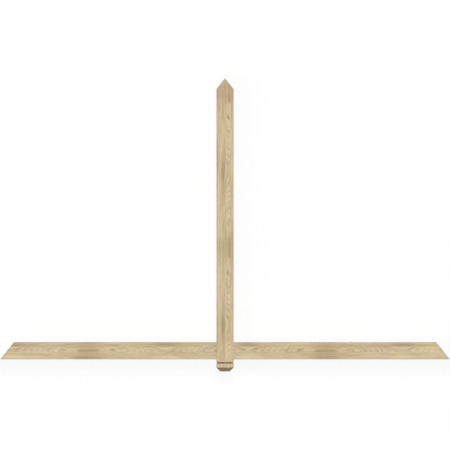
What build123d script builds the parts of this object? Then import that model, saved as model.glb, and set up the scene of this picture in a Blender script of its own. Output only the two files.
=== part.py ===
from build123d import *
import os

# Timber gable bracket: a king post standing through a chord of two arms, cut to sit under a steep gable.
# It lies on its back. X runs along the arms, Y runs up the post, Z runs from the backs to the faces.
# The origin is on the back of the post, on its centreline, level with the underside of the arms.

# Roof line: every upper cut lies on one of two planes that meet over the post.
span = 3657.6  # tip to tip along the underside of the arms
pitch = 15 / 12  # rise over run of both planes

# Sticks: 6 x 6 stock, dressed on four sides.
post_width = 139.7
arm_height = 139.7
depth = 139.7
arris = 1.6  # radius of the eased edges

# Moulded drop of the post, from the underside of the arms downwards.
neck_length = 24.5
groove_height = 9.5
groove_depth = 4.8
block_height = 34.0
tip_bevel = 31.0

overrun = 10.0  # how far a cutter runs past the wood

rise = span / 2 * pitch
shoulder_level = rise - post_width / 2 * pitch
end_cut_run = arm_height / pitch
drop_length = neck_length + groove_height + block_height + tip_bevel

os.makedirs("parts", exist_ok=True)


with BuildPart() as king_post:
    with BuildSketch():
        with BuildLine():
            Polyline(
                (-post_width / 2, -drop_length),
                (post_width / 2, -drop_length),
                (post_width / 2, shoulder_level),
                (0, rise),
                (-post_width / 2, shoulder_level),
                close=True,
            )
        make_face()
    extrude(amount=depth)

    # The foot is bevelled on all four sides, and every edge but the sawn peak is eased.
    foot = king_post.faces().sort_by(Axis.Y)[0]
    chamfer(foot.edges(), length=tip_bevel)
    bevel_top = tip_bevel - drop_length
    bevel_edges = king_post.edges().filter_by_position(Axis.Y, -drop_length, bevel_top)
    long_edges = king_post.edges().filter_by(Axis.Y)
    fillet(long_edges + bevel_edges, radius=arris)

    # A square groove runs round all four sides and leaves a core.
    with BuildSketch(Plane.XZ.offset(neck_length)):
        with Locations((0, depth / 2)):
            Rectangle(post_width + 2 * overrun, depth + 2 * overrun)
            Rectangle(
                post_width - 2 * groove_depth,
                depth - 2 * groove_depth,
                mode=Mode.SUBTRACT,
            )
    extrude(amount=groove_height, mode=Mode.SUBTRACT)


with BuildPart() as left_arm:
    with BuildSketch():
        with BuildLine():
            # The inner end is square and bears on the side of the post, the outer end follows the roof.
            Polyline(
                (-span / 2, 0),
                (-post_width / 2, 0),
                (-post_width / 2, arm_height),
                (end_cut_run - span / 2, arm_height),
                close=True,
            )
        make_face()
    extrude(amount=depth)
    fillet(left_arm.edges().filter_by(Axis.X), radius=arris)


with BuildPart() as right_arm:
    mirror(left_arm.part, about=Plane.YZ)


king_post.part.label = "king_post"
export_step(king_post.part, "parts/king_post.step")
left_arm.part.label = "left_arm"
export_step(left_arm.part, "parts/left_arm.step")
right_arm.part.label = "right_arm"
export_step(right_arm.part, "parts/right_arm.step")
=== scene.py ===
import math

import bmesh
import bpy
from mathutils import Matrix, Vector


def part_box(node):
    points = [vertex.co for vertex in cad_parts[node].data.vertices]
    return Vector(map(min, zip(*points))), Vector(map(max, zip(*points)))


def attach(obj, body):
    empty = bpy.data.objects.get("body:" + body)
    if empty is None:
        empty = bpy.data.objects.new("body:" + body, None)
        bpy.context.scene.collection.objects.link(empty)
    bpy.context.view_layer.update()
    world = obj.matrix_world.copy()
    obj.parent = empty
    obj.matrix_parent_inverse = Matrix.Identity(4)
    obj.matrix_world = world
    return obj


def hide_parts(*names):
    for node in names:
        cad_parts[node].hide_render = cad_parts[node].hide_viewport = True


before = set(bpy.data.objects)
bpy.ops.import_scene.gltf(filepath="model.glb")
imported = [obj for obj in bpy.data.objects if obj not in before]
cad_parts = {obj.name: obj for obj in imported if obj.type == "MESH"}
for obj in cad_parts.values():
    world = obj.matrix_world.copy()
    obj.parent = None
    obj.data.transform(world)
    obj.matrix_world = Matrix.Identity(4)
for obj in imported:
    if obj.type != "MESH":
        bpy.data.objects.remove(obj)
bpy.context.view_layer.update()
postLow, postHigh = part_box("king_post")
armLow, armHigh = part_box("left_arm")
print("frame loaded")

# The bracket lies on its back. X runs along the arms, Y up the post and Z up to the camera.
halfPost = postHigh.x
halfDepth = postHigh.z / 2
halfArm = armHigh.y / 2
halfSpan = -armLow.x
pitch = postHigh.y / halfSpan  # rise over run of the roof

# The moulded drop of the post, from the underside of the arms down to the bevel at its foot.
drop = {
    "neck": 0.0245,
    "grooveHeight": 0.0095,
    "grooveDepth": 0.0048,
    "block": 0.0340,
}
neckEnd = -drop["neck"]
grooveEnd = neckEnd - drop["grooveHeight"]
bevelTop = grooveEnd - drop["block"]
bevel = bevelTop - postLow.y


class Wire:  # one socket of a shader or geometry tree, so that sums on it read as sums
    def __init__(self, tree, socket=None):
        self.tree = tree
        self.socket = socket

    def node(self, kind, settings, inputs, output=0):
        made = self.tree.nodes.new(kind)
        for name, value in settings.items():
            if name == "stops":
                fillRamp(made.color_ramp, value)
            else:
                setattr(made, name, value)
        for name, value in inputs.items():
            if isinstance(value, Wire):
                self.tree.links.new(value.socket, made.inputs[name])
            else:
                made.inputs[name].default_value = value
        if isinstance(output, tuple):
            return [Wire(self.tree, made.outputs[name]) for name in output]
        return Wire(self.tree, made.outputs[output]) if made.outputs else None

    def maths(self, operation, *terms):
        return self.node("ShaderNodeMath", {"operation": operation}, dict(enumerate(terms)))

    def vectorMaths(self, operation, *terms):
        return self.node("ShaderNodeVectorMath", {"operation": operation}, dict(enumerate(terms)))

    def absolute(self):
        return self.maths("ABSOLUTE", self)

    def greater(self, other):
        return self.maths("MAXIMUM", self, other)

    def lesser(self, other):
        return self.maths("MINIMUM", self, other)

    def parts(self):
        return self.node("ShaderNodeSeparateXYZ", {}, {"Vector": self}, ("X", "Y", "Z"))

    def joined(self, x, y, z):
        return self.node("ShaderNodeCombineXYZ", {}, {"X": x, "Y": y, "Z": z})

    def mixed(self, colour, amount, how="MIX"):  # sockets 6 and 7 and output 2 are the node's colours
        settings = {"data_type": "RGBA", "blend_type": how}
        return self.node("ShaderNodeMix", settings, {0: amount, 6: self, 7: colour}, 2)

    def ramp(self, stops):
        return self.node("ShaderNodeValToRGB", {"stops": stops}, {"Fac": self})

    def __add__(self, other):
        return self.maths("ADD", self, other)

    def __radd__(self, other):
        return self.maths("ADD", other, self)

    def __sub__(self, other):
        return self.maths("SUBTRACT", self, other)

    def __rsub__(self, other):
        return self.maths("SUBTRACT", other, self)

    def __mul__(self, other):
        return self.maths("MULTIPLY", self, other)

    def __rmul__(self, other):
        return self.maths("MULTIPLY", other, self)

    def __truediv__(self, other):
        return self.maths("DIVIDE", self, other)

    def __rtruediv__(self, other):
        return self.maths("DIVIDE", other, self)

    def __pow__(self, other):
        return self.maths("POWER", self, other)

    def __rpow__(self, other):
        return self.maths("POWER", other, self)


def fillRamp(ramp, stops):
    while len(ramp.elements) < len(stops):
        ramp.elements.new(1.0)
    for element, (position, colour) in zip(ramp.elements, stops):
        element.position = position
        element.color = colour


def paint(red, green, blue):  # a colour as a picture shows it, 0 to 255, made linear
    def linear(value):
        share = value / 255
        return share / 12.92 if share <= 0.04045 else ((share + 0.055) / 1.055) ** 2.4

    return (linear(red), linear(green), linear(blue), 1.0)


def grey(value):
    return (value, value, value, 1.0)


def cloud(place, waves, seed, detail=2.0):  # smooth noise about 0, with its waves a metre on each axis
    moved = place.vectorMaths("MULTIPLY_ADD", place, waves, (seed, 2 * seed, 3 * seed))
    return place.node("ShaderNodeTexNoise", {}, {"Vector": moved, "Scale": 1.0, "Detail": detail}) - 0.5


def fade(value, start, end):  # a smooth step, 0 at the start and 1 at the end
    inputs = {"Value": value, "From Min": start, "From Max": end, "To Min": 0.0, "To Max": 1.0}
    return value.node("ShaderNodeMapRange", {"interpolation_type": "SMOOTHSTEP"}, inputs)


# Wood. All three sticks show the same figure on their faces. At an eye the pith comes nearest to the
# face and the rings lie round a lens, at a saddle it lies deepest and the rings of two eyes meet. Places
# on a stick are along it, across it from the middle of the figure, and down from the face.
figure = {
    "saddleToEye": 0.6302,
    "eyeDepth": 0.055,  # of the pith below the face
    "saddleDepth": 0.091,
    "eyeFlatness": 1.5,  # over 1 the pith stays longer near the face than deep down
    "eyePhase": 0.80,  # how much of its ring has grown at the middle of an eye
    "ringSpacing": 0.0044,
    "unevenYears": 1.7,  # in rings
    "openSide": 0.06,  # how much faster the rings follow each other on the side of the patches
    "closeSide": 0.95,  # and on the other side
    "bluntness": 0.035,  # of the rings on the side of the patches
    "sideBlend": 0.004,  # how softly one side turns into the other
    "bend": ((1.6, 0.0, 0.0), 0.008),  # waves a metre along, across and down, then the reach
    "wander": [
        ((4.0, 16.0, 16.0), 0.0042),
        ((14.0, 55.0, 55.0), 0.0020),
        ((34.0, 400.0, 400.0), 0.0006),
    ],
}

# Where each stick's figure has a saddle, its middle line across the stick, and the seed of its noises.
woods = {
    "king_post": {"upright": True, "saddle": 0.279, "middle": 0.043, "seed": 3.7},
    "left_arm": {"upright": False, "saddle": -0.484, "middle": 0.060, "seed": 11.3},
    "right_arm": {"upright": False, "saddle": 0.187, "middle": 0.060, "seed": 23.9},
}

# Noises in a stick. Each has its waves a metre along, across and down, what it adds to the seed of the
# stick, and its detail.
clouds = {
    "board": ((1.4, 9.0, 9.0), 0.0, 1.0),
    "streaks": ((2.6, 75.0, 75.0), 3.0, 2.0),
    "fibres": ((22.0, 900.0, 900.0), 6.0, 3.0),
    "flecks": ((13.0, 85.0, 85.0), 9.0, 2.0),
    "patchy": ((7.0, 32.0, 32.0), 12.0, 2.0),
    "hue": ((2.5, 26.0, 26.0), 17.0, 1.0),
    "sawn": ((0.0, 700.0, 9.0), 21.0, 3.0),
    "grime": ((6.0, 60.0, 60.0), 31.0, 3.0),
    "wear": ((9.0, 9.0, 9.0), 0.0, 3.0),
}

# Noises that are the same all round a ring. Each has its waves a ring, its seed and its detail.
ringClouds = {
    "years": (0.40, 0.0, 2.0),
    "groups": (0.42, 7.0, 1.0),
}


def stickPlace(place, wood):  # along the stick from a saddle, across it and down from its face
    x, y, z = place.parts()
    depth = 2 * halfDepth - z
    if wood["upright"]:
        return place.joined(y - wood["saddle"], wood["middle"] - x, depth)
    return place.joined(x - wood["saddle"], y - wood["middle"], depth)


def stickCloud(stick, wood, name):
    waves, seed, detail = clouds[name]
    return cloud(stick, waves, wood["seed"] + seed, detail)


def ringCloud(count, name):
    waves, seed, detail = ringClouds[name]
    return cloud(count.joined(count, 0.0, 0.0), (waves, 0.0, 0.0), seed, detail)


def ringCount(stick, wood, spacing, eyeDepth, saddleDepth):  # how many rings out from the middle of an eye
    along, across, depth = stick.parts()
    seed = wood["seed"]
    turn = along.maths("COSINE", along * (math.pi / figure["saddleToEye"]))
    swing = (turn * 0.5 + 0.5) ** figure["eyeFlatness"]
    waves, reach = figure["bend"]
    sideways = across + cloud(stick, waves, seed) * reach
    upwards = swing * (saddleDepth - eyeDepth) + eyeDepth - depth
    blend = figure["sideBlend"]
    reached = (sideways * sideways + blend * blend) ** 0.5 - blend
    openSide = (reached + sideways) * 0.5
    closeSide = (reached - sideways) * 0.5
    spread = openSide * openSide / (openSide + figure["bluntness"]) + closeSide
    distance = (spread * spread + upwards * upwards) ** 0.5
    distance = distance + openSide * figure["openSide"] + closeSide * figure["closeSide"]
    for number, (waves, reach) in enumerate(figure["wander"]):
        distance = distance + cloud(stick, waves, seed + number) * reach
    count = (distance - eyeDepth) / spacing + figure["eyePhase"]
    return count + ringCloud(count, "years") * figure["unevenYears"]


ringWood = {
    "growth": [  # a place in the ring, and how late the wood is there
        (0.0, 0.12),
        (0.28, 0.0),
        (0.62, 0.50),
        (0.84, 1.0),
        (0.95, 0.9),
        (1.0, 0.12),
    ],
    "strongRings": (2.4, 1.8),  # the first rings of an eye are all strong
    "strongYear": 0.80,  # how strong a later ring can be
    "weakYear": 0.52,  # what the weakest ring keeps of its summer wood
}


def lateness(count):  # 0 in the soft spring wood of a ring, 1 in its hard summer wood
    ring = count.maths("FRACT", count)
    late = ring.ramp([(position, grey(value)) for position, value in ringWood["growth"]])
    whole = count.maths("FLOOR", count)
    year = count.node("ShaderNodeTexWhiteNoise", {"noise_dimensions": "1D"}, {"W": whole})
    strong = fade(count, *ringWood["strongRings"]).greater(year * ringWood["strongYear"])
    return late * (strong * (1 - ringWood["weakYear"]) + ringWood["weakYear"])


tones = {
    "pale": paint(224, 206, 175),
    "plain": paint(205, 186, 153),
    "late": paint(168, 146, 111),
    "brown": paint(138, 113, 76),
    "olive": paint(160, 136, 94),
    "gold": paint(194, 168, 120),
    "rose": paint(216, 194, 166),
    "russet": paint(186, 158, 124),
    "pinkTint": paint(255, 252, 254),
    "goldTint": paint(253, 255, 244),
    "endTint": paint(201, 198, 191),
    # The groove tone is painted shadow for the recess of the post's groove.
    "groove": paint(88, 70, 46),
    "handled": paint(165, 162, 159),
}

# The shade of the wood runs from pale spring wood at 0 to summer wood at 1. These are its base, how
# much each noise adds to it, and the tones that it stands for.
shades = {
    "base": 0.300,
    "board": 0.36,
    "streaks": 0.75,
    "flecks": 0.50,
    "fibres": 0.30,
    "groups": 0.85,
    "late": 0.42,
    "patchy": 1.5,  # of the summer wood, how unevenly it shows
    "eye": 0.16,  # the wood round an eye is darker
    "eyeReach": (0.40, 0.62),  # how far from a saddle that starts and is full
    "stops": [(0.0, "pale"), (0.42, "plain"), (1.0, "late")],
    "hueStops": [(0.39, "goldTint"), (0.61, "pinkTint")],
}

# Marks of the figure: the tone, how far from the saddle and across, the half length and half width, how
# soft the edge is, and the strength.
marks = [
    # At a saddle there is a brown patch on one side, and pale streaks lie beside it.
    ("brown", 0.000, 0.061, 0.165, 0.015, 0.40, 0.22),
    ("brown", 0.000, 0.059, 0.088, 0.013, 0.40, 0.33),
    ("pale", 0.000, 0.010, 0.050, 0.006, 0.40, 0.30),
    ("pale", 0.000, 0.030, 0.045, 0.007, 0.40, 0.30),
    ("pale", 0.000, -0.041, 0.120, 0.013, 0.40, 0.50),
    # From there to the eye run faint streaks, one of them all the way.
    ("brown", 0.115, -0.017, 0.060, 0.007, 0.40, 0.14),
    ("gold", 0.190, 0.049, 0.120, 0.007, 0.40, 0.32),
    ("late", 0.240, -0.028, 0.130, 0.005, 0.40, 0.12),
    ("pale", 0.220, -0.038, 0.090, 0.006, 0.40, 0.26),
    ("brown", 0.265, 0.044, 0.042, 0.006, 0.40, 0.15),
    ("pale", 0.350, 0.043, 0.060, 0.005, 0.40, 0.28),
    ("late", 0.300, 0.055, 9.000, 0.015, 0.40, 0.12),
    ("pale", 0.295, 0.018, 0.045, 0.022, 0.40, 0.18),
    ("pale", 0.362, 0.012, 0.030, 0.011, 0.40, 0.30),
    # Near the eye come a dark fleck and a rosy patch.
    ("brown", 0.438, 0.015, 0.024, 0.007, 0.30, 0.74),
    ("rose", 0.495, 0.014, 0.062, 0.014, 0.30, 0.60),
    # At the eye an olive lens lies in a brown band, with streaks on both sides.
    ("brown", 0.630, 0.006, 0.078, 0.120, 0.40, 0.16),
    ("plain", 0.590, 0.027, 0.075, 0.005, 0.40, 0.60),
    ("russet", 0.585, 0.037, 0.085, 0.006, 0.40, 0.60),
    ("olive", 0.630, 0.012, 0.078, 0.011, 0.15, 0.31),
    ("olive", 0.630, 0.010, 0.100, 0.005, 0.15, 0.10),
    ("brown", 0.558, 0.009, 0.026, 0.005, 0.40, 0.20),
    ("plain", 0.590, -0.006, 0.110, 0.006, 0.40, 0.35),
    ("plain", 0.570, 0.061, 0.090, 0.008, 0.40, 0.40),
    ("russet", 0.560, -0.027, 0.160, 0.017, 0.40, 0.40),
    ("brown", 0.620, -0.054, 0.120, 0.018, 0.40, 0.34),
]

marking = {
    "depth": 0.045,  # how far the marks reach into the wood
    "plain": 0.8,  # how strong they are in plain wood
    "streaks": 1.2,  # and how much the streaks change that
    "late": 0.5,  # and the summer wood
    "raggedWaves": (9.0, 60.0, 60.0),
    "raggedReach": (0.060, 0.009, 0.009),  # how far the edges stray along, across and down
    "raggedSeed": 13.0,
    "raggedDetail": 3.0,
}


def foldedPlace(stick, wood):  # in a figure that is folded at its eyes and saddles, with ragged edges
    offset = (wood["seed"], marking["raggedSeed"], 0.0)
    moved = stick.vectorMaths("MULTIPLY_ADD", stick, marking["raggedWaves"], offset)
    inputs = {"Vector": moved, "Scale": 1.0, "Detail": marking["raggedDetail"]}
    rag = stick.node("ShaderNodeTexNoise", {}, inputs, "Color")
    rag = rag.vectorMaths("SUBTRACT", rag, (0.5, 0.5, 0.5))
    ragged = rag.vectorMaths("MULTIPLY_ADD", rag, marking["raggedReach"], stick)
    along, across, depth = ragged.parts()
    return along.joined(along.maths("PINGPONG", along, figure["saddleToEye"]), across, depth)


def spot(place, along, across, length, width, softness):  # 1 inside an ellipsoid on the face, 0 outside it
    gap = place.vectorMaths("SUBTRACT", place, (along, across, 0.0))
    scaled = gap.vectorMaths("MULTIPLY", gap, (1 / length, 1 / width, 1 / marking["depth"]))
    reach = scaled.node("ShaderNodeVectorMath", {"operation": "LENGTH"}, {0: scaled}, "Value")
    return fade(reach, 1 + softness, 1 - softness)


def toned(value, stops):  # the tone that a value stands for
    return value.ramp([(position, tones[tone]) for position, tone in stops])


def freshColour(stick, wood, count, late, fibres):  # of the planed wood before anyone handles it
    folded = foldedPlace(stick, wood)
    streaks = stickCloud(stick, wood, "streaks")
    shade = stickCloud(stick, wood, "board") * shades["board"] + streaks * shades["streaks"]
    shade = shade + stickCloud(stick, wood, "flecks") * shades["flecks"] + fibres * shades["fibres"]
    shade = shade + ringCloud(count, "groups") * shades["groups"] + shades["base"]
    shade = shade + late * (stickCloud(stick, wood, "patchy") * shades["patchy"] + 1.0) * shades["late"]
    shade = shade + fade(folded.parts()[0], *shades["eyeReach"]) * shades["eye"]
    colour = toned(shade, shades["stops"])

    streaky = streaks * marking["streaks"] + late * marking["late"] + marking["plain"]
    for tone, along, across, length, width, softness, strength in marks:
        amount = spot(folded, along, across, length, width, softness) * strength
        colour = colour.mixed(tones[tone], amount * streaky)
    tint = toned(stickCloud(stick, wood, "hue") + 0.5, shades["hueStops"])
    return colour.mixed(tint, 1.0, "MULTIPLY")


# Hands and slings have rubbed the arrises and the edges by the roof cuts a little grey.
handling = {
    "arrisReach": 0.012,  # how far the grey reaches in from an arris
    "roofReach": 0.020,  # and from a roof cut
    "bevelScale": 1.7,  # it reaches less far in from a bevel, by this factor
    "onArris": 0.38,  # how strong the grey is
    "onRoof": 0.40,
    "sawnLoss": 0.7,  # how much weaker it is on the roof cuts themselves
    "grime": 2.0,  # how uneven it is
}


def arrisGap(place, wood):  # how far the nearest arris is from a place on the skin
    x, y, z = place.parts()
    sideGap = halfPost - x.absolute() if wood["upright"] else halfArm - (y - halfArm).absolute()
    faceGap = halfDepth - (z - halfDepth).absolute()
    gaps = [sideGap, faceGap]
    if wood["upright"]:
        footGap = y - postLow.y
        sideBevelGap = (sideGap + footGap - bevel) * handling["bevelScale"]
        faceBevelGap = (faceGap + footGap - bevel) * handling["bevelScale"]
        gaps += [footGap, sideBevelGap, faceBevelGap]

    # The place lies on its nearest plane, so the second nearest one makes the arris.
    nearest = gaps[0].lesser(gaps[1])
    second = gaps[0].greater(gaps[1])
    for gap in gaps[2:]:
        second = second.lesser(nearest.greater(gap))
        nearest = nearest.lesser(gap)
    return second


def handledColour(colour, place, stick, wood, endGrain):
    x, y = place.parts()[:2]
    atArris = fade(arrisGap(place, wood), handling["arrisReach"], 0.0) * handling["onArris"]
    if wood["upright"]:  # the arms cover the post's arrises at the crossing
        edge = handling["arrisReach"] / 2
        aboveLow = fade(y, armLow.y - edge, armLow.y + edge)
        belowHigh = fade(y, armHigh.y + edge, armHigh.y - edge)
        atArris = atArris * (1 - aboveLow * belowHigh)
    roofGap = (postHigh.y - y - x.absolute() * pitch) * (1 / math.hypot(1.0, pitch))
    planedShare = 1 - endGrain * handling["sawnLoss"]
    atRoof = fade(roofGap, handling["roofReach"], 0.0) * planedShare * handling["onRoof"]
    grime = stickCloud(stick, wood, "grime") * handling["grime"] + 1.0
    return colour.mixed(tones["handled"], atArris.greater(atRoof) * grime)


surface = {
    "sawnTurn": (0.35, 0.62),  # how far a face turns to the stick's end, from planed to sawn
    "roughness": 0.74,
    "lateGloss": 0.10,
    "fibreRoughness": 0.12,
    "specular": 0.25,
    "fibreRelief": 0.00025,  # in metres, as are the next two
    "lateRelief": 0.00008,
    "sawnRelief": 0.0005,
    "bump": 0.6,
    # The groove is painted dark as painted shadow in its recess.
    "grooveShadowStrength": 0.92,
    "grooveShadowEdge": 0.001,  # how softly the painted groove shadow ends above and below
}


def sawnShare(facing, wood):  # 1 on the sawn ends and the bevels, 0 on the planed faces
    x, y = facing.parts()[:2]
    lengthwise = y if wood["upright"] else x
    return fade(lengthwise.absolute(), *surface["sawnTurn"])


def paintedGrooveShadow(place):  # 1 at the height of the groove, where its shadow is painted, 0 above and below it
    y = place.parts()[1]
    edge = surface["grooveShadowEdge"]
    return fade(y, grooveEnd, grooveEnd + edge) * fade(y, neckEnd, neckEnd - edge)


def woodMaterial(name, wood):
    material = bpy.data.materials.new(name)
    material.use_nodes = True
    material.node_tree.nodes.clear()
    start = Wire(material.node_tree)
    place, facing = start.node("ShaderNodeTexCoord", {}, {}, ("Object", "Normal"))
    stick = stickPlace(place, wood)
    count = ringCount(stick, wood, figure["ringSpacing"], figure["eyeDepth"], figure["saddleDepth"])
    late = lateness(count)
    fibres = stickCloud(stick, wood, "fibres")
    endGrain = sawnShare(facing, wood)
    colour = freshColour(stick, wood, count, late, fibres)
    colour = handledColour(colour, place, stick, wood, endGrain)

    # Cut fibres drink in the light, so the sawn ends and the bevels are darker.
    colour = colour.mixed(tones["endTint"], endGrain, "MULTIPLY")
    # The groove in the post's drop is painted dark: painted shadow in its recess.
    if wood["upright"]:
        colour = colour.mixed(tones["groove"], paintedGrooveShadow(place) * surface["grooveShadowStrength"])

    rough = surface["roughness"] - late * surface["lateGloss"] + fibres * surface["fibreRoughness"]
    planed = fibres * surface["fibreRelief"] + late * surface["lateRelief"]
    sawn = stickCloud(stick, wood, "sawn") * surface["sawnRelief"]
    height = planed + (sawn - planed) * endGrain
    inputs = {"Height": height, "Distance": 1.0, "Strength": surface["bump"]}
    normal = height.node("ShaderNodeBump", {}, inputs)
    inputs = {
        "Base Color": colour,
        "Roughness": rough,
        "Normal": normal,
        "Specular IOR Level": surface["specular"],
    }
    shader = start.node("ShaderNodeBsdfPrincipled", {}, inputs)
    start.node("ShaderNodeOutputMaterial", {}, {"Surface": shader})
    return material


# Sticks. A stick is a skin of rings along its length, closed at both ends by a grid.
skin = {
    "acrossSteps": 96,
    "arcSteps": 3,
    "arris": 0.0016,  # radius of the eased edges
    "sharpAngle": 35.0,
}


def sectionLoop(halfAcross, halfUp, arris):  # the points round a square section with eased corners
    steps, arcs = skin["acrossSteps"], skin["arcSteps"]
    flatAcross, flatUp = halfAcross - arris, halfUp - arris
    corners = [(-1, -1), (1, -1), (1, 1), (-1, 1)]
    loop = []
    for side in range(4):
        here, there = corners[side], corners[(side + 1) % 4]
        turn = math.radians(90 * side - 90)
        for step in range(steps + 1):
            share = step / steps
            across = flatAcross * (here[0] + (there[0] - here[0]) * share)
            up = flatUp * (here[1] + (there[1] - here[1]) * share)
            loop.append((across + arris * math.cos(turn), up + arris * math.sin(turn)))
        for step in range(1, arcs):
            bend = turn + math.radians(90) * step / arcs
            across = flatAcross * there[0] + arris * math.cos(bend)
            up = flatUp * there[1] + arris * math.sin(bend)
            loop.append((across, up))
    return loop


def closeEnd(mesh, ring, flatAcross, flatUp, put):  # a grid of squares, joined to the last ring
    steps, arcs = skin["acrossSteps"], skin["arcSteps"]
    side = steps + arcs  # ring points from one side to the next
    grid = []
    for column in range(steps + 1):
        across = flatAcross * (2 * column / steps - 1)
        places = [put(across, flatUp * (2 * row / steps - 1)) for row in range(steps + 1)]
        grid.append([mesh.verts.new(place) for place in places])
    for left, right in zip(grid, grid[1:]):
        for row in range(steps):
            mesh.faces.new((left[row], right[row], right[row + 1], left[row + 1]))
    borders = [
        [grid[step][0] for step in range(steps + 1)],
        [grid[steps][step] for step in range(steps + 1)],
        [grid[steps - step][steps] for step in range(steps + 1)],
        [grid[0][steps - step] for step in range(steps + 1)],
    ]
    for number, border in enumerate(borders):
        first = number * side
        for step in range(steps):
            mesh.faces.new((ring[first + step], ring[first + step + 1], border[step + 1], border[step]))
        for step in range(arcs):
            outer = ring[first + steps + step]
            following = ring[(first + steps + step + 1) % len(ring)]
            mesh.faces.new((outer, following, border[steps]))


def stickMesh(name, rings, halfAcross, halfUp, toPlace):
    # A ring is its level along the stick, how far its section is cut in and how far it leans to the cuts.
    mesh = bmesh.new()
    loops = []
    for level, inset, lean in rings:
        loop = sectionLoop(halfAcross - inset, halfUp - inset, skin["arris"])
        loops.append([mesh.verts.new(toPlace(across, up, level, lean)) for across, up in loop])
    for lower, upper in zip(loops, loops[1:]):
        count = len(lower)
        for step in range(count):
            following = (step + 1) % count
            mesh.faces.new((lower[step], lower[following], upper[following], upper[step]))
    for loop, (level, inset, lean) in ((loops[0], rings[0]), (loops[-1], rings[-1])):
        flatAcross = halfAcross - inset - skin["arris"]
        flatUp = halfUp - inset - skin["arris"]
        closeEnd(mesh, loop, flatAcross, flatUp, lambda across, up: toPlace(across, up, level, lean))
    bmesh.ops.recalc_face_normals(mesh, faces=mesh.faces)
    data = bpy.data.meshes.new(name)
    mesh.to_mesh(data)
    mesh.free()
    return data


def evenRings(start, end, spacing, inset=0.0, lastLean=0.0):  # the lean grows from 0 to the last one's
    count = max(1, round(abs(end - start) / spacing))
    rings = []
    for step in range(count + 1):
        share = step / count
        rings.append((start + (end - start) * share, inset, lastLean * share**2))
    return rings


postSkin = {
    "ringSpacing": 0.0130,
    "dropSpacing": 0.0060,  # in the block and the groove
    "bevelSteps": 8,
    "leanZone": 0.35,  # down from the peak, where the rings turn to the roof cuts
}


def postPlace(across, up, level, lean):  # a leaning ring follows both roof planes
    return (across, level - lean * abs(across) * pitch, up + halfDepth)


def postRings():
    foot = postLow.y
    ease = skin["arris"] / 2
    steps = postSkin["bevelSteps"]
    rings = [(foot, bevel + ease, 0.0)]
    for step in range(steps + 1):
        share = step / steps
        level = foot + ease + (bevel - 2 * ease) * share
        rings.append((level, bevelTop - level, 0.0))
    rings += evenRings(bevelTop + ease, grooveEnd - ease, postSkin["dropSpacing"])
    rings += [(grooveEnd, ease, 0.0)]
    rings += evenRings(grooveEnd, neckEnd, postSkin["dropSpacing"], drop["grooveDepth"])
    rings += [(neckEnd, ease, 0.0)]
    zone = postHigh.y - postSkin["leanZone"]
    rings += evenRings(neckEnd + ease, zone, postSkin["ringSpacing"])
    rings += evenRings(zone, postHigh.y, postSkin["ringSpacing"], lastLean=1.0)[1:]
    return rings


armSkin = {
    "ringSpacing": 0.0105,
    "leanZone": 0.40,  # in from the tip
}


def armPlaces(side):  # side is -1 on the left and 1 on the right
    def place(across, up, level, lean):
        return (side * (level - lean * (across + halfArm) / pitch), across + halfArm, up + halfDepth)

    return place


def armRings():
    zone = halfSpan - armSkin["leanZone"]
    rings = evenRings(halfPost, zone, armSkin["ringSpacing"])
    return rings + evenRings(zone, halfSpan, armSkin["ringSpacing"], lastLean=1.0)[1:]


relief = {
    "depth": 0.0002,  # how far the soft spring wood lies below the hard summer wood
    "wear": 0.0006,  # how far the arrises are rubbed down at most
    "wornFlatness": (0.98, 0.6),  # of the normals, from a flat face to an arris
    "wornPatches": (-0.05, 0.25),  # of the wear noise, from unworn to worn
}


def reliefTree(name, wood, material):  # raises the grain by the same rings that colour it
    tree = bpy.data.node_groups.new(name, "GeometryNodeTree")
    sockets = tree.interface
    sockets.new_socket("Geometry", in_out="INPUT", socket_type="NodeSocketGeometry")
    sockets.new_socket("Geometry", in_out="OUTPUT", socket_type="NodeSocketGeometry")
    sizes = {
        "Ring spacing": figure["ringSpacing"],
        "Eye depth": figure["eyeDepth"],
        "Saddle depth": figure["saddleDepth"],
        "Relief": relief["depth"],
        "Wear": relief["wear"],
    }
    for title in sizes:
        sockets.new_socket(title, in_out="INPUT", socket_type="NodeSocketFloat")
    start = Wire(tree)
    entries = start.node("NodeGroupInput", {}, {}, ("Geometry", *sizes))
    geometry, spacing, eyeDepth, saddleDepth, depth, wear = entries
    place = start.node("GeometryNodeInputPosition", {}, {})
    outwards = start.node("GeometryNodeInputNormal", {}, {})
    stick = stickPlace(place, wood)
    hollow = (1 - lateness(ringCount(stick, wood, spacing, eyeDepth, saddleDepth))) * depth

    # Where the normal leans between two axes the skin is an arris or a slanting cut, worn unevenly.
    squares = [part * part for part in outwards.parts()]
    flatness = squares[0] * squares[0] + squares[1] * squares[1] + squares[2] * squares[2]
    atArris = fade(flatness, *relief["wornFlatness"])
    worn = atArris * fade(stickCloud(stick, wood, "wear"), *relief["wornPatches"]) * wear
    back = (hollow + worn) * -1.0
    move = outwards.node("ShaderNodeVectorMath", {"operation": "SCALE"}, {0: outwards, "Scale": back})
    geometry = start.node("GeometryNodeSetPosition", {}, {"Geometry": geometry, "Offset": move})
    geometry = start.node("GeometryNodeRealizeInstances", {}, {"Geometry": geometry})
    geometry = start.node("GeometryNodeSetMaterial", {}, {"Geometry": geometry, "Material": material})
    start.node("NodeGroupOutput", {}, {"Geometry": geometry})
    return tree, sizes


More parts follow.
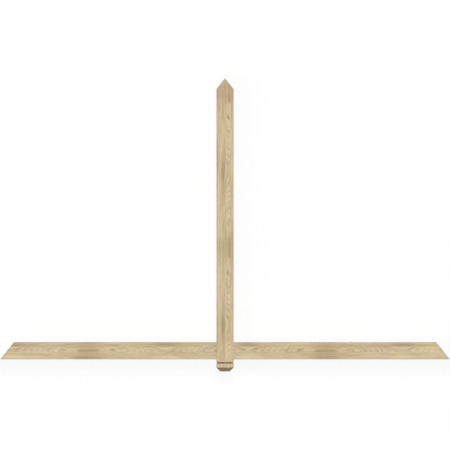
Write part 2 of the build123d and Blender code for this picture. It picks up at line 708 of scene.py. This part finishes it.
def raiseGrain(data, name, wood, material):
    blank = bpy.data.objects.new(name + "_blank", data)
    bpy.context.scene.collection.objects.link(blank)
    tree, sizes = reliefTree(name + "_relief", wood, material)
    modifier = blank.modifiers.new("relief", "NODES")
    modifier.node_group = tree
    for item in tree.interface.items_tree:
        if item.in_out == "INPUT" and item.name in sizes:
            modifier[item.identifier] = sizes[item.name]
    depsgraph = bpy.context.evaluated_depsgraph_get()
    finished = bpy.data.meshes.new_from_object(blank.evaluated_get(depsgraph), depsgraph=depsgraph)
    blank.modifiers.remove(modifier)
    bpy.data.objects.remove(blank)
    finished.name = name
    finished.shade_smooth()
    finished.set_sharp_from_angle(angle=math.radians(skin["sharpAngle"]))
    piece = bpy.data.objects.new(name, finished)
    bpy.context.scene.collection.objects.link(piece)
    return piece


def buildStick(node, rings, halfAcross, toPlace):
    wood = woods[node]
    material = woodMaterial(node + "_wood", wood)
    data = stickMesh(node + "_skin", rings, halfAcross, halfDepth, toPlace)
    piece = raiseGrain(data, node + "_planed", wood, material)
    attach(piece, "root")
    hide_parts(node)
    triangles = sum(len(face.vertices) - 2 for face in piece.data.polygons)
    print(node, "made,", triangles, "triangles")


buildStick("king_post", postRings(), halfPost, postPlace)
buildStick("left_arm", armRings(), halfArm, armPlaces(-1))
buildStick("right_arm", armRings(), halfArm, armPlaces(1))


# Floor, light and camera.
studio = {
    "floorSize": 60.0,
    "floorDrop": 0.0005,  # how far the floor lies under the sticks
    "floorTone": 0.80,
    "floorGlow": 0.90,  # share of plain white that the camera sees on the floor
    "skyShare": 0.36,  # of the light on a face that looks up
    "lamps": {  # share, then degrees from overhead, round from the peak of the post, and across the lamp
        "key": (0.49, 38.0, 0.0, 28.0),
        "fill": (0.15, 58.0, 96.0, 40.0),
    },
}


def seenRays(start):  # 1 for what the camera, a gloss or a glass sees, 0 for what only lights the wood
    rays = ("Is Camera Ray", "Is Glossy Ray", "Is Transmission Ray")
    camera, gloss, glass = start.node("ShaderNodeLightPath", {}, {}, rays)
    return camera.greater(gloss).greater(glass)


def studioFloor():
    half = studio["floorSize"] / 2
    corners = [(-half, -half), (half, -half), (half, half), (-half, half)]
    data = bpy.data.meshes.new("floor")
    data.from_pydata([(x, y, -studio["floorDrop"]) for x, y in corners], [], [(0, 1, 2, 3)])
    floor = bpy.data.objects.new("floor", data)
    bpy.context.scene.collection.objects.link(floor)
    material = bpy.data.materials.new("studio_floor")
    material.use_nodes = True
    material.node_tree.nodes.clear()
    start = Wire(material.node_tree)
    seen = seenRays(start)
    inputs = {0: seen, 6: grey(studio["floorTone"]), 7: grey(1.0)}
    tone = start.node("ShaderNodeMix", {"data_type": "RGBA"}, inputs, 2)
    matt = start.node("ShaderNodeBsdfDiffuse", {}, {"Color": tone})
    glow = start.node("ShaderNodeEmission", {}, {"Color": grey(1.0), "Strength": 1.0})
    shader = start.node("ShaderNodeMixShader", {}, {0: seen * studio["floorGlow"], 1: matt, 2: glow})
    start.node("ShaderNodeOutputMaterial", {}, {"Surface": shader})
    data.materials.append(material)


def studioLight():
    world = bpy.data.worlds.new("studio")
    bpy.context.scene.world = world
    world.use_nodes = True
    world.node_tree.nodes.clear()
    start = Wire(world.node_tree)
    seen = seenRays(start)
    sky = start.node("ShaderNodeBackground", {}, {"Color": grey(1.0), "Strength": studio["skyShare"]})
    white = start.node("ShaderNodeBackground", {}, {"Color": grey(1.0), "Strength": 1.0})
    shader = start.node("ShaderNodeMixShader", {}, {0: seen, 1: sky, 2: white})
    start.node("ShaderNodeOutputWorld", {}, {"Surface": shader})
    for name, (share, tilt, turn, softness) in studio["lamps"].items():
        sun = bpy.data.lights.new(name, "SUN")
        sun.angle = math.radians(softness)
        sun.energy = math.pi * share / math.cos(math.radians(tilt))
        lamp = bpy.data.objects.new(name, sun)
        lamp.rotation_euler = (math.radians(-tilt), 0.0, math.radians(turn))
        bpy.context.scene.collection.objects.link(lamp)


lens = {
    "pictureWidth": 3.6592,  # metres across the picture at the level of the faces
    "centre": (0.0, 1.0921),  # of the picture, on X and Y
    "distance": 120.0,
    "sensor": 36.0,
}


def studioCamera():
    camera = bpy.data.cameras.new("camera")
    camera.sensor_fit = "HORIZONTAL"
    camera.sensor_width = lens["sensor"]
    camera.lens = lens["sensor"] * lens["distance"] / lens["pictureWidth"]
    camera.clip_end = 2 * lens["distance"]
    holder = bpy.data.objects.new("camera", camera)
    holder.location = (*lens["centre"], 2 * halfDepth + lens["distance"])
    bpy.context.scene.collection.objects.link(holder)
    bpy.context.scene.camera = holder


studioFloor()
studioLight()
studioCamera()
bpy.context.scene.view_settings.view_transform = "Standard"
print("studio set")
